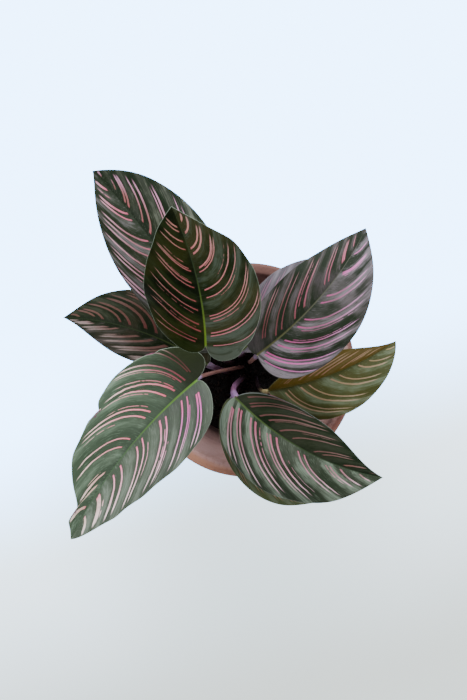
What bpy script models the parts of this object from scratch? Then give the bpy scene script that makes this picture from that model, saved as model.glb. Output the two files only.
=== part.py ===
"""Pinstripe calathea in its terracotta pot.

Nine waved leaf blades stand on nine slim stalks, which rise from plain holes in the soil of a
tapered clay pot. Units are metres and degrees, +Z is up, and the origin is the middle of the
pot's foot. Every blade follows one formula: veins sweep from the midrib to the outline, and the
sheet is then bent along the midrib, raised on both sides of it, arched and waved.
"""

import math
from dataclasses import dataclass

import bmesh
import bpy
import numpy as np

# Pot
POT_HEIGHT = 0.110
RIM_RADIUS = 0.060
RIM_WIDTH = 0.0067
BAND_HEIGHT = 0.024
BAND_STEP = 0.0030
BAND_SLOPE = 0.10
OUTER_SLOPE = 0.20
INNER_SLOPE = 0.2045
BASE_THICKNESS = 0.008
EDGE_ROUNDING = 0.0016
DRAIN_HOLES = 3
DRAIN_RADIUS = 0.004
DRAIN_CIRCLE = 0.020
DRAIN_OVERRUN = 0.002
POT_STEPS = 56

# Soil
SOIL_LEVEL = 0.054
SOIL_DISH = 0.0025
SOIL_BUMP = 0.0010
SOIL_BUMP_WAVES = (310.0, 270.0)
SOIL_BUMP_PHASES = (1.0, -0.6)
SOIL_BUMP_REACH = 0.9
SOIL_BEVEL = 0.0036
SOIL_SIDE_GAP = 0.0004
SOIL_RINGS = (0.25, 0.45, 0.65, 0.85, 1.0)
SOIL_STEPS = 48
GAP = 0.0003

# Stalks
STALK_DEPTH = 0.012
STALK_COLLAR = 0.002
STALK_POINTS = 15
KNEE_LENGTH = 0.011
KNEE_SWELL = 1.22
KNEE_STEEPNESS = 1.6
KNEE_GAP = 0.0007
FOOT_SWELL = 1.15
FOOT_FADE = 0.015
HOLE_CLEARANCE = 0.00045
HOLE_OVERRUN = 0.010
HOLE_SIDES = 20

# Blades
BLADE_THICKNESS = 0.0008
BLADE_ROWS = 24
BLADE_COLUMNS = 5
FAN_SHARE = 0.20
VEIN_POWER = 2.6
VEIN_LEAD = (0.45, -0.40)
SINUS_SPREAD = 0.15
LOBE_PULL = 1.9
UPPER_PULL = 0.28
TIP_PULL = 0.34
ROW_CROWDING = 0.4
NICK_LIMIT = 0.9
WAVES = 2.5


@dataclass
class Leaf:
    """One blade with its stalk; pairs are for the left and the right half, seen from the stalk."""

    name: str
    base: tuple
    length: float
    half_widths: tuple
    heading: float
    bend: float
    pitch: float
    droop: float
    roll: float
    root: tuple
    stalk_radius: float = 0.0015
    lift: float = 0.40
    reach: float = 0.016
    tilt: float = 40.0
    rise: tuple = (10.0, 10.0)
    arch: tuple = (35.0, 35.0)
    lobe: tuple = (0.04, 0.04)
    widest: float = 0.42
    fullness: float = 0.42
    tip: tuple = (0.18, 0.18)
    bow: tuple = (0.65, 0.75)
    wave: float = 0.0015
    phase: tuple = (0.0, 90.0)
    nicks: tuple = ((), ())


LEAVES = [
    Leaf("rear_left", base=(-0.0180, 0.0165, 0.128), length=0.121, half_widths=(0.0240, 0.0285),
         heading=118, bend=16, pitch=33, droop=70, roll=-4, root=(-0.0065, 0.0086),
         rise=(22, 20), lobe=(0.05, 0.04), widest=0.44, fullness=0.45, tip=(0.16, 0.12),
         bow=(0.90, 0.60)),
    Leaf("rear_tall", base=(-0.0220, 0.0130, 0.166), length=0.090, half_widths=(0.0280, 0.0290),
         heading=89, bend=26, pitch=50, droop=10, roll=-4, root=(-0.0085, 0.0036), reach=0.026, tilt=25,
         rise=(6, 13), lobe=(0.08, 0.13), widest=0.36, fullness=0.38, tip=(0.06, 0.16),
         bow=(0.60, 0.95), wave=0.0012, phase=(-15, 160),
         nicks=(((0.90, -0.0010, 0.06),), ((0.235, 0.0014, 0.03), (0.75, -0.0018, 0.07)))),
    Leaf("left", base=(-0.0225, 0.0035, 0.120), length=0.092, half_widths=(0.0170, 0.0240),
         heading=147, bend=32, pitch=10, droop=47, roll=0, root=(-0.0100, -0.0020), reach=0.010, lift=0.35,
         rise=(10, 6), lobe=(0.03, 0.03), fullness=0.20, tip=(0.22, 0.20), bow=(0.65, 1.00)),
    Leaf("front_left", base=(-0.0270, -0.0045, 0.150), length=0.104,
         half_widths=(0.0275, 0.0300), heading=219, bend=25, pitch=24, droop=26, roll=-14,
         root=(-0.0017, 0.0014), stalk_radius=0.0010, lift=0.50, reach=0.010,
         rise=(12, 17), lobe=(0.04, 0.12), widest=0.26, fullness=0.25,
         tip=(0.04, 0.16), bow=(0.75, 0.95), wave=0.0025, phase=(75, 10),
         nicks=(((0.66, -0.0012, 0.06), (0.81, -0.0008, 0.04)),
                ((0.30, 0.0010, 0.015), (0.562, 0.0036, 0.020), (0.72, -0.0014, 0.05),
                 (0.87, 0.0044, 0.06), (0.93, -0.0020, 0.025)))),
    Leaf("rear_right", base=(0.0040, 0.0085, 0.150), length=0.094, half_widths=(0.0215, 0.0270),
         heading=36, bend=27, pitch=25, droop=62, roll=-6, root=(0.0014, 0.0040), stalk_radius=0.0011,
         rise=(11, 18), lobe=(0.02, 0.00), widest=0.36, fullness=0.40, tip=(0.14, 0.20)),
    Leaf("rear_under", base=(-0.0030, 0.0110, 0.122), length=0.074, half_widths=(0.0180, 0.0190),
         heading=46, bend=2, pitch=17, droop=55, roll=4, root=(-0.0010, 0.0095),
         rise=(12, 8), lobe=(0.03, 0.03), widest=0.44, fullness=0.08, tip=(0.12, 0.18),
         bow=(0.60, 0.60)),
    Leaf("right", base=(0.0110, -0.0110, 0.119), length=0.078, half_widths=(0.0130, 0.0240),
         heading=9, bend=24, pitch=7, droop=28, roll=-12, root=(0.0056, -0.0056),
         stalk_radius=0.0010, reach=0.010, rise=(49, 22), arch=(38, 30), lobe=(0.01, 0.00),
         widest=0.40, fullness=0.22, tip=(0.24, 0.08), bow=(0.70, 0.85)),
    Leaf("front_right", base=(-0.0070, -0.0140, 0.138), length=0.092,
         half_widths=(0.0180, 0.0320), heading=314, bend=35, pitch=13, droop=31, roll=4,
         root=(-0.0016, -0.0052), reach=0.014, rise=(8, 8), lobe=(0.00, 0.03), fullness=0.35,
         tip=(0.22, 0.16), bow=(0.85, 0.55)),
    Leaf("front_under", base=(-0.0085, -0.0155, 0.128), length=0.082,
         half_widths=(0.0195, 0.0155), heading=281, bend=59, pitch=5, droop=36, roll=-1,
         root=(-0.0050, -0.0110), stalk_radius=0.0013, reach=0.008, tilt=75, rise=(8, 9),
         lobe=(0.03, 0.03), widest=0.46, fullness=0.35, bow=(0.60, 0.60)),
]

# Colours, linear red, green, blue
CLAY = (0.43, 0.21, 0.13)
SOIL = (0.030, 0.020, 0.014)
BLADE = (0.040, 0.085, 0.030)
STALK = (0.30, 0.17, 0.20)


def clear_scene():
    """Remove every object that the scene starts with."""
    for old in list(bpy.data.objects):
        bpy.data.objects.remove(old)


def material(name, colour, roughness):
    """A plain painted surface."""
    made = bpy.data.materials.new(name)
    made.use_nodes = True
    shader = made.node_tree.nodes["Principled BSDF"]
    shader.inputs["Base Color"].default_value = (*colour, 1.0)
    shader.inputs["Roughness"].default_value = roughness
    return made


def collection(name):
    """A collection in the scene."""
    made = bpy.data.collections.new(name)
    bpy.context.scene.collection.children.link(made)
    return made


def add_object(name, data, home, surface=None):
    """Link new data as an object, with its one material."""
    made = bpy.data.objects.new(name, data)
    home.objects.link(made)
    if surface is not None:
        data.materials.append(surface)
    return made


def bezier(points, t):
    """Points of a Bezier curve at the values t, by repeated halving between its controls."""
    rows = [np.broadcast_to(np.asarray(point, float), t.shape + (len(point),)) for point in points]
    share = t[..., None]
    while len(rows) > 1:
        rows = [one * (1 - share) + two * share for one, two in zip(rows[:-1], rows[1:])]
    return rows[0]


def outline(leaf, side, along):
    """Flat margin of one half at shares of its length: x along the midrib, y out from it.

    Two cubics meet at the widest place. The first goes back around the lobe, the second comes
    in to the tip. Nicks are small dents of a given place, depth and width.
    """
    lobe, tip = leaf.lobe[side], leaf.tip[side]
    t = np.linspace(0.0, 1.0, 200)
    lower = bezier([(0, 0), (-LOBE_PULL * lobe, SINUS_SPREAD), (leaf.widest - leaf.fullness, 1),
                    (leaf.widest, 1)], t)
    upper = bezier([(leaf.widest, 1), (leaf.widest + UPPER_PULL, 1), (1 - tip, TIP_PULL),
                    (1, 0)], t)
    margin = np.vstack([lower, upper[1:]]) * [leaf.length, leaf.half_widths[side]]
    steps = np.linalg.norm(np.diff(margin, axis=0), axis=1)
    share = np.concatenate([[0.0], np.cumsum(steps)]) / steps.sum()
    x = np.interp(along, share, margin[:, 0])
    y = np.interp(along, share, margin[:, 1])
    for place, depth, width in leaf.nicks[side]:
        y = y - np.minimum(depth * np.exp(-((along - place) / width) ** 2), NICK_LIMIT * y)
    return x, y


def flat_point(leaf, side, along, across):
    """Point of the flat half on the vein that ends at the margin's share along.

    The vein is a quadratic curve. Its foot stays at the base for the lobe's fan and then moves
    up the midrib, x = length * v ** VEIN_POWER, with v the share along past the fan.
    """
    edge_x, edge_y = outline(leaf, side, along)
    past = np.clip((along - FAN_SHARE) / (1 - FAN_SHARE), 0.0, 1.0)
    foot = leaf.length * past ** VEIN_POWER
    lead = VEIN_LEAD[0] + VEIN_LEAD[1] * along
    knee_x = foot + lead * (edge_x - foot)
    knee_y = leaf.bow[side] * edge_y
    x = (1 - across) ** 2 * foot + 2 * across * (1 - across) * knee_x + across ** 2 * edge_x
    y = 2 * across * (1 - across) * knee_y + across ** 2 * edge_y
    return x, y


def midrib_frame(leaf, x):
    """Centre, tangent, side and normal of the bent midrib at the lengths x."""
    u = np.linspace(0.0, 1.0, 201)
    span = leaf.length * (u[1] - u[0])
    pitch = np.radians(leaf.pitch - leaf.droop * u)
    heading = np.radians(leaf.heading + leaf.bend * u)
    tangent = np.stack([np.cos(pitch) * np.cos(heading), np.cos(pitch) * np.sin(heading),
                        np.sin(pitch)], axis=-1)
    steps = (tangent[1:] + tangent[:-1]) / 2 * span
    path = np.vstack([np.zeros(3), np.cumsum(steps, axis=0)])
    share = np.clip(x / leaf.length, 0.0, 1.0)
    centre = np.stack([np.interp(share, u, path[:, axis]) for axis in range(3)], axis=-1)
    forward = np.stack([np.interp(share, u, tangent[:, axis]) for axis in range(3)], axis=-1)
    forward /= np.linalg.norm(forward, axis=-1, keepdims=True)
    centre = centre + np.array(leaf.base) + np.minimum(x, 0.0)[..., None] * forward
    turn = np.arctan2(forward[..., 1], forward[..., 0])
    level = np.stack([-np.sin(turn), np.cos(turn), np.zeros_like(turn)], axis=-1)
    upward = np.cross(forward, level)
    roll = math.radians(leaf.roll)
    left = level * math.cos(roll) + upward * math.sin(roll)
    normal = upward * math.cos(roll) - level * math.sin(roll)
    return centre, forward, left, normal


def blade_point(leaf, along, across):
    """World point of the blade; across runs from -1 at the right margin to 1 at the left one.

    Each half leaves the midrib at its rise angle and arches down evenly, and the wave grows
    with the square of the distance from the midrib.
    """
    points = np.zeros(along.shape + (3,))
    mean_width = sum(leaf.half_widths) / 2
    for side, sign in ((0, 1.0), (1, -1.0)):
        x, y = flat_point(leaf, side, along, np.abs(across))
        centre, _, left, normal = midrib_frame(leaf, x)
        rise = math.radians(leaf.rise[side])
        arch = math.radians(leaf.arch[side]) / mean_width
        out = (math.sin(rise) - np.sin(rise - arch * y)) / arch
        lift = (np.cos(rise - arch * y) - math.cos(rise)) / arch
        turn = 2 * math.pi * WAVES * x / leaf.length + math.radians(leaf.phase[side])
        lift = lift + leaf.wave * (y / mean_width) ** 2 * np.sin(turn)
        half = centre + left * (sign * out)[..., None] + normal * lift[..., None]
        points = np.where((across * sign >= 0)[..., None], half, points)
    return points


def blade(leaf, home, surface):
    """The blade: a grid laid by the vein formula, split into triangles and given thickness."""
    mesh = bpy.data.meshes.new("blade_" + leaf.name)
    sheet = bmesh.new()
    bmesh.ops.create_grid(sheet, x_segments=BLADE_ROWS, y_segments=2 * BLADE_COLUMNS, size=1.0)
    flat = np.array([vert.co[:2] for vert in sheet.verts])
    step = (flat[:, 0] + 1) / 2
    along = step + ROW_CROWDING * step * (1 - step)
    placed = blade_point(leaf, along, flat[:, 1])
    for vert, place in zip(sheet.verts, placed):
        vert.co = place
    bmesh.ops.remove_doubles(sheet, verts=sheet.verts, dist=1e-6)
    bmesh.ops.triangulate(sheet, faces=sheet.faces, quad_method="SHORT_EDGE")
    bmesh.ops.recalc_face_normals(sheet, faces=sheet.faces)
    sheet.to_mesh(mesh)
    sheet.free()
    made = add_object("blade_" + leaf.name, mesh, home, surface)
    thicken = made.modifiers.new("thickness", "SOLIDIFY")
    thicken.thickness = BLADE_THICKNESS
    thicken.offset = 0.0
    mesh.shade_smooth()
    return made


def stalk_path(leaf):
    """Centre line of the stalk: upright through the soil, then a curve to below the blade."""
    origin = np.zeros(1)
    centre, forward, _, normal = (rows[0] for rows in midrib_frame(leaf, origin))
    tilt = math.radians(leaf.tilt)
    arrive = forward * math.cos(tilt) + normal * math.sin(tilt)
    drop = leaf.stalk_radius * KNEE_SWELL * math.cos(tilt) + BLADE_THICKNESS / 2 + KNEE_GAP
    end = centre - normal * drop
    start = np.array([*leaf.root, SOIL_LEVEL + STALK_COLLAR])
    lift = np.array([0.0, 0.0, leaf.lift * (end[2] - start[2])])
    curve = bezier([start, start + lift, end - arrive * leaf.reach, end],
                   np.linspace(0.0, 1.0, STALK_POINTS))
    foot = np.array([*leaf.root, SOIL_LEVEL - STALK_DEPTH])
    return np.vstack([foot, curve])


def stalk_radii(leaf, path):
    """Radii along the path: wider at the soil, slim above it, swollen at the knee."""
    steps = np.linalg.norm(np.diff(path, axis=0), axis=1)
    from_foot = np.concatenate([[0.0], np.cumsum(steps)])
    to_end = from_foot[-1] - from_foot
    foot = (FOOT_SWELL - 1) * np.exp(-np.maximum(from_foot - STALK_DEPTH, 0) / FOOT_FADE)
    knee = (KNEE_SWELL - 1) * np.clip(KNEE_STEEPNESS * (1 - to_end / KNEE_LENGTH), 0.0, 1.0)
    return leaf.stalk_radius * (1 + foot + knee)


def stalk(leaf, home, surface):
    """The stalk with its knee, one tapered tube."""
    path = stalk_path(leaf)
    radii = stalk_radii(leaf, path)
    curve = bpy.data.curves.new("stalk_" + leaf.name, "CURVE")
    curve.dimensions = "3D"
    curve.bevel_depth = 1.0
    curve.bevel_resolution = 2
    curve.use_fill_caps = True
    line = curve.splines.new("POLY")
    line.points.add(len(path) - 1)
    for point, place, radius in zip(line.points, path, radii):
        point.co = (*place, 1.0)
        point.radius = radius
    return add_object("stalk_" + leaf.name, curve, home, surface)


def turned(name, profile, steps, home, surface):
    """A solid turned about Z from a profile that runs down its outer side."""
    mesh = bpy.data.meshes.new(name)
    edges = [(index, index + 1) for index in range(len(profile) - 1)]
    mesh.from_pydata([(radius, 0.0, height) for radius, height in profile], edges, [])
    made = add_object(name, mesh, home, surface)
    screw = made.modifiers.new("turn", "SCREW")
    screw.angle = math.tau
    screw.steps = steps
    screw.render_steps = steps
    screw.use_merge_vertices = True
    screw.merge_threshold = 1e-6
    screw.use_smooth_shade = True
    return made


def cut_with(target, cutter):
    """Cut one solid out of another."""
    cut = target.modifiers.new("cut", "BOOLEAN")
    cut.operation = "DIFFERENCE"
    cut.object = cutter


def upright_cutter(name, place, radius, bottom, top, home):
    """A hidden upright cylinder that cuts a hole."""
    shape = bmesh.new()
    bmesh.ops.create_cone(shape, cap_ends=True, segments=HOLE_SIDES, radius1=radius,
                          radius2=radius, depth=top - bottom)
    mesh = bpy.data.meshes.new(name)
    shape.to_mesh(mesh)
    shape.free()
    made = add_object(name, mesh, home)
    made.location = (place[0], place[1], (top + bottom) / 2)
    made.hide_render = True
    made.display_type = "WIRE"
    return made


def inner_radius(height):
    """Radius of the pot's inner wall at a height."""
    return RIM_RADIUS - RIM_WIDTH - INNER_SLOPE * (POT_HEIGHT - height)


def pot(home, cutters, surface):
    """The clay pot: thick rim band, tapered wall, flat foot and three drain holes."""
    soft = EDGE_ROUNDING
    band_foot = POT_HEIGHT - BAND_HEIGHT
    band_radius = RIM_RADIUS - BAND_SLOPE * BAND_HEIGHT
    neck_radius = band_radius - BAND_STEP
    foot_radius = neck_radius - OUTER_SLOPE * band_foot
    lip_inner = RIM_RADIUS - RIM_WIDTH
    profile = [
        (0.0, BASE_THICKNESS),
        (inner_radius(BASE_THICKNESS) - 2 * soft, BASE_THICKNESS),
        (inner_radius(BASE_THICKNESS + 2 * soft), BASE_THICKNESS + 2 * soft),
        (inner_radius(POT_HEIGHT - 2 * soft), POT_HEIGHT - 2 * soft),
        (lip_inner + 0.2 * soft, POT_HEIGHT - 0.6 * soft),
        (lip_inner + soft, POT_HEIGHT),
        (RIM_RADIUS - 1.2 * soft, POT_HEIGHT),
        (RIM_RADIUS - 0.3 * soft, POT_HEIGHT - 0.4 * soft),
        (RIM_RADIUS, POT_HEIGHT - 1.2 * soft),
        (band_radius, band_foot + soft),
        (band_radius - soft, band_foot),
        (neck_radius, band_foot - 0.5 * soft),
        (foot_radius + OUTER_SLOPE * soft, soft),
        (foot_radius - soft, 0.0),
        (0.0, 0.0),
    ]
    made = turned("pot", profile, POT_STEPS, home, surface)
    for number in range(DRAIN_HOLES):
        turn = math.tau * number / DRAIN_HOLES
        place = (DRAIN_CIRCLE * math.cos(turn), DRAIN_CIRCLE * math.sin(turn))
        cut_with(made, upright_cutter(f"drain_{number + 1}", place, DRAIN_RADIUS,
                                      -DRAIN_OVERRUN, BASE_THICKNESS + DRAIN_OVERRUN, cutters))
    return made


def soil(home, cutters, surface):
    """The soil: a plug that follows the pot's wall, uneven on top, with a hole for each stalk."""
    bottom = BASE_THICKNESS + GAP
    top_radius = inner_radius(SOIL_LEVEL - SOIL_DISH) - SOIL_SIDE_GAP
    shoulder = bottom + SOIL_BEVEL
    profile = [(0.0, SOIL_LEVEL)]
    for share in SOIL_RINGS:
        profile.append((share * top_radius, SOIL_LEVEL - SOIL_DISH * share ** 3))
    profile.append((inner_radius(shoulder) - SOIL_SIDE_GAP, shoulder))
    profile.append((inner_radius(bottom) - SOIL_BEVEL - SOIL_SIDE_GAP, bottom))
    profile.append((0.0, bottom))
    blank = turned("soil_blank", profile, SOIL_STEPS, cutters, None)
    bpy.context.view_layer.update()
    evaluated = blank.evaluated_get(bpy.context.evaluated_depsgraph_get())
    mesh = bpy.data.meshes.new_from_object(evaluated)
    bpy.data.objects.remove(blank)
    mesh.name = "soil"
    for vert in mesh.vertices:
        radius = math.hypot(vert.co.x, vert.co.y)
        if vert.co.z > SOIL_LEVEL - 2 * SOIL_DISH and radius < SOIL_BUMP_REACH * top_radius:
            along_x = math.sin(SOIL_BUMP_WAVES[0] * vert.co.x + SOIL_BUMP_PHASES[0])
            along_y = math.sin(SOIL_BUMP_WAVES[1] * vert.co.y + SOIL_BUMP_PHASES[1])
            vert.co.z += SOIL_BUMP * along_x * along_y
    made = add_object("soil", mesh, home, surface)
    for leaf in LEAVES:
        radius = leaf.stalk_radius * FOOT_SWELL + HOLE_CLEARANCE
        cut_with(made, upright_cutter("hole_" + leaf.name, leaf.root, radius,
                                      SOIL_LEVEL - STALK_DEPTH - GAP, SOIL_LEVEL + HOLE_OVERRUN,
                                      cutters))
    return made


clear_scene()
plant = collection("pinstripe_calathea")
tools = collection("cutters")
pot(plant, tools, material("clay", CLAY, 0.85))
soil(plant, tools, material("soil", SOIL, 0.95))
green = material("blade", BLADE, 0.40)
mauve = material("stalk", STALK, 0.50)
for entry in LEAVES:
    blade(entry, plant, green)
    stalk(entry, plant, mauve)
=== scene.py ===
"""Pinstripe calathea in its terracotta pot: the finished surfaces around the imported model.

Units are metres and degrees, +Z is up, and the origin is the middle of the pot's foot. The
file follows the plant as it is put together: pot, soil, stalks, blades, then floor and light.
"""

import math
from dataclasses import dataclass
from types import SimpleNamespace

import bmesh
import bpy
import numpy as np
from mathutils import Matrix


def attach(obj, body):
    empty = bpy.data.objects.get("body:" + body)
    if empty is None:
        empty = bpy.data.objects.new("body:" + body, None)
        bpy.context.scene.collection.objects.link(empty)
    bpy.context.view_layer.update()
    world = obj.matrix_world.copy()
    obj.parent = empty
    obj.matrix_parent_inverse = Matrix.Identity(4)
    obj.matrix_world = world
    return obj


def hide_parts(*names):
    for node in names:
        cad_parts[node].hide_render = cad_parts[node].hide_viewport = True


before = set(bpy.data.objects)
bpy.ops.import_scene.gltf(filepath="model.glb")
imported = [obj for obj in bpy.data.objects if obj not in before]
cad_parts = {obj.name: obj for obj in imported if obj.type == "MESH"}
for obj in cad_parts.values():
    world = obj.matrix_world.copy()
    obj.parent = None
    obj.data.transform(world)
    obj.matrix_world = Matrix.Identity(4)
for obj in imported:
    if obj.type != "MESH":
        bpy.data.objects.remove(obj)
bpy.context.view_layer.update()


# The pot. Fired clay, thrown on a wheel: a rim band, a tapered wall and a flat foot with three
# drain holes. Its profile is carried round the axis with the rings and dents of the making,
# and pale lime has bloomed on the wall.
POT_HEIGHT = 0.110
RIM_RADIUS = 0.060
RIM_WIDTH = 0.0067
BAND_HEIGHT = 0.024
BAND_STEP = 0.0030
BAND_SLOPE = 0.10
OUTER_SLOPE = 0.20
INNER_SLOPE = 0.2045
BASE_THICKNESS = 0.008
DRAIN_HOLES = 3
DRAIN_SIDES = 28
DRAIN_RADIUS = 0.004
DRAIN_CIRCLE = 0.020
WALL_MIDDLE = 0.0345
WALL_SLOPE = 0.202
POT_SIDES = 168
POT_SPACING = 0.0011
ARC_POINTS = 9
CORNER_RADII = (0.0032, 0.0017, 0.0022, 0.0013, 0.0010, 0.0016)
SMOOTH_BASE = 0.030
WALL_FADE = 0.004
WHEEL_RING = 0.00016
RING_SEED = 11
RING_CELL = 0.0022
RING_RISE = 0.004
CLAY_DENT = 0.00022
DENT_SEED = 12
DENT_CELL = 0.011
LIP_WEAR = 0.00018
LIP_SEED = 13
LIP_DEPTH = 0.002
LIP_CELL = 0.007
DRILL_REACH = 0.002
POT_EDGE = 50.0

CLAY = "#8f5d4f"
CLAY_DEEP = "#64423a"
CLAY_BLOOM = "#a98883"
CLAY_DAMP = "#33201b"
CLAY_WORN = "#9a6c56"
WALL_BLUR = 0.0007
LIP_HEIGHTS = (0.104, 0.108)
WORN_INNER = (0.0540, 0.0562)
WORN_OUTER = (0.0602, 0.0588)
WORN_EAST = 0.040
# Painted shade: how far north the rim and the inner wall start and finish darkening at the back.
REAR_SHADE_NORTH = (0.032, 0.050)
DAMP_HEIGHTS = (0.078, 0.064)


def paint(code):
    """Linear colour of a screen colour written as #rrggbb."""
    screen = np.array([int(code[place:place + 2], 16) for place in (1, 3, 5)]) / 255
    linear = np.where(screen <= 0.04045, screen / 12.92, ((screen + 0.055) / 1.055) ** 2.4)
    return (*linear.tolist(), 1.0)


def portion(part, whole):
    """How much of a whole a part is, kept between 0 and 1."""
    return np.clip(part / whole, 0.0, 1.0)


def turned(radius, turn, height):
    """Points at a distance from the axis, an angle round it and a height."""
    return np.stack([radius * np.cos(turn), radius * np.sin(turn), height], axis=-1)


def lattice_noise(points, cell, seed):
    """Smooth noise from -1 to 1: random values on a cubic lattice, eased across each cell."""
    size = 24
    values = np.random.default_rng(seed).uniform(-1.0, 1.0, (size, size, size))
    scaled = points / cell
    corner = np.floor(scaled).astype(int)
    share = scaled - corner
    share = share * share * (3 - 2 * share)
    total = np.zeros(points.shape[:-1])
    for step in np.ndindex(2, 2, 2):
        chosen = (corner + step) % size
        weight = np.prod(np.where(step, share, 1 - share), axis=-1)
        total += weight * values[chosen[..., 0], chosen[..., 1], chosen[..., 2]]
    return total


def inner_radius(height):
    """Radius of the pot's inner wall at a height."""
    return RIM_RADIUS - RIM_WIDTH - INNER_SLOPE * (POT_HEIGHT - height)


def unit(rows):
    """Rows of numbers scaled to a length of one."""
    return rows / np.linalg.norm(rows, axis=-1, keepdims=True)


def run_along(points):
    """How far along a line of points each of them lies."""
    return np.concatenate([[0.0], np.cumsum(np.linalg.norm(np.diff(points, axis=0), axis=1))])


def read_off(places, run, rows):
    """Rows of numbers read off at places along a run, on straight lines between them."""
    return np.stack([np.interp(places, run, column) for column in rows.T], axis=-1)


def rounded_line(corners, radii, spacing):
    """A line through corners, each rounded by an arc of its radius, with evenly spaced points."""
    corners = np.array(corners, float)
    points = [corners[:1]]
    for before, corner, after, radius in zip(corners[:-2], corners[1:-1], corners[2:], radii):
        back, ahead = unit(before - corner), unit(after - corner)
        half = math.acos(np.clip(back @ ahead, -1.0, 1.0)) / 2
        middle = corner + unit(back + ahead) * radius / math.sin(half)
        share = np.linspace(0.0, 1.0, ARC_POINTS)[:, None]
        reach = radius / math.tan(half)
        arc = (corner + back * reach) * (1 - share) + (corner + ahead * reach) * share - middle
        points.append(middle + unit(arc) * radius)
    points = np.vstack([*points, corners[-1:]])
    run = run_along(points)
    return read_off(np.linspace(0.0, run[-1], int(run[-1] / spacing) + 1), run, points)


def grid_faces(rows, columns, closed=False):
    """Corner numbers of the faces of a grid of points stored row by row."""
    row, column = np.meshgrid(np.arange(rows - 1), np.arange(columns - (not closed)),
                              indexing="ij")
    beside = (column + 1) % columns
    return np.stack([row * columns + column, row * columns + beside,
                     (row + 1) * columns + beside, (row + 1) * columns + column],
                    axis=-1).reshape(-1, 4)


def tidy_mesh(mesh, merge=1e-6, turn_faces=True):
    """Merge doubled points, turn the faces outwards unless they already are, and shade smooth."""
    shape = bmesh.new()
    shape.from_mesh(mesh)
    bmesh.ops.remove_doubles(shape, verts=shape.verts, dist=merge)
    if turn_faces:
        bmesh.ops.recalc_face_normals(shape, faces=shape.faces)
    shape.to_mesh(mesh)
    shape.free()
    mesh.shade_smooth()


def turned_mesh(name, surface):
    """A closed mesh of a turned surface, whose first and last rings are single points."""
    mesh = bpy.data.meshes.new(name)
    mesh.from_pydata(surface.reshape(-1, 3), [], grid_faces(*surface.shape[:2], closed=True))
    tidy_mesh(mesh, merge=1e-5)
    return mesh


def new_object(name, data):
    """An object of a mesh, a lamp or a camera, linked to the scene."""
    made = bpy.data.objects.new(name, data)
    bpy.context.scene.collection.objects.link(made)
    return made


def put_in_place(name, mesh, finishes, nodes=()):
    """Finish a piece that rides with the plant, and hide the nodes it stands for."""
    for finish in finishes:
        mesh.materials.append(finish)
    made = new_object(name, mesh)
    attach(made, "root")
    for node in nodes:
        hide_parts(node)


def thrown_pot():
    """The pot's surface: radius and height of the profile, turned, with rings and dents."""
    band_foot = POT_HEIGHT - BAND_HEIGHT
    band_radius = RIM_RADIUS - BAND_SLOPE * BAND_HEIGHT
    neck_radius = band_radius - BAND_STEP
    foot_radius = neck_radius - OUTER_SLOPE * band_foot
    corners = [(0.0, BASE_THICKNESS), (inner_radius(BASE_THICKNESS), BASE_THICKNESS),
               (RIM_RADIUS - RIM_WIDTH, POT_HEIGHT), (RIM_RADIUS, POT_HEIGHT),
               (band_radius, band_foot), (neck_radius, band_foot), (foot_radius, 0.0),
               (0.0, 0.0)]
    profile = rounded_line(corners, CORNER_RADII, POT_SPACING)
    turn = np.arange(POT_SIDES) * math.tau / POT_SIDES
    radius, turn = np.meshgrid(profile[:, 0], turn, indexing="ij")
    height = np.broadcast_to(profile[:, 1:], radius.shape)
    plain = turned(radius, turn, height)
    spiral = np.stack([height + RING_RISE * turn / math.tau, 0 * radius, 0 * radius], axis=-1)
    on_wall = portion(np.minimum(height, POT_HEIGHT - height), WALL_FADE)
    on_wall = on_wall * portion(radius - SMOOTH_BASE, WALL_FADE)
    rings = lattice_noise(spiral, RING_CELL, RING_SEED) * np.sin(turn / 2) ** 2
    dents = lattice_noise(plain, DENT_CELL, DENT_SEED)
    radius = radius + on_wall * (WHEEL_RING * rings + CLAY_DENT * dents)
    lip = portion(height - POT_HEIGHT + LIP_DEPTH, LIP_DEPTH)
    height = height - lip * LIP_WEAR * (1 + lattice_noise(plain, LIP_CELL, LIP_SEED))
    return turned(radius, turn, height)


def drilled(blank, places, radius, bottom, top):
    """The blank's mesh with upright round holes through it."""
    cutters = []
    for x, y in places:
        shape = bmesh.new()
        bmesh.ops.create_cone(shape, cap_ends=True, segments=DRAIN_SIDES, radius1=radius,
                              radius2=radius, depth=top - bottom)
        mesh = bpy.data.meshes.new("drill")
        shape.to_mesh(mesh)
        shape.free()
        cutter = new_object("drill", mesh)
        cutter.location = (x, y, (top + bottom) / 2)
        cut = blank.modifiers.new("hole", "BOOLEAN")
        cut.object = cutter
        cutters.append(cutter)
    bpy.context.view_layer.update()
    evaluated = blank.evaluated_get(bpy.context.evaluated_depsgraph_get())
    mesh = bpy.data.meshes.new_from_object(evaluated)
    for used in [*cutters, blank]:
        bpy.data.objects.remove(used)
    return mesh


class Wire:
    """A value in a material's node tree. Sums written with it add the nodes that reckon them."""

    def __init__(self, tree, socket):
        self.tree = tree
        self.socket = socket

    def __add__(self, other):
        return reckon("ADD", self, other)

    def __mul__(self, other):
        return reckon("MULTIPLY", self, other)

    def __sub__(self, other):
        return reckon("SUBTRACT", self, other)

    def __rsub__(self, other):
        return reckon("SUBTRACT", other, self)

    __radd__ = __add__
    __rmul__ = __mul__


def new_finish(name):
    """A material, its node tree and its shader."""
    made = bpy.data.materials.new(name)
    made.use_nodes = True
    return made, made.node_tree, made.node_tree.nodes["Principled BSDF"]


def give(node, values):
    """Give sockets, by name or number, a wire, a number, a row or a colour as #rrggbb."""
    for key, value in values.items():
        if isinstance(value, Wire):
            value.tree.links.new(value.socket, node.inputs[key])
        else:
            node.inputs[key].default_value = paint(value) if isinstance(value, str) else value


def new_node(tree, kind, values, output=0, **settings):
    """The wire from a new node with its settings and the values of its sockets."""
    node = tree.nodes.new(kind)
    for name, setting in settings.items():
        setattr(node, name, setting)
    give(node, values)
    return Wire(tree, node.outputs[output])


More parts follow.
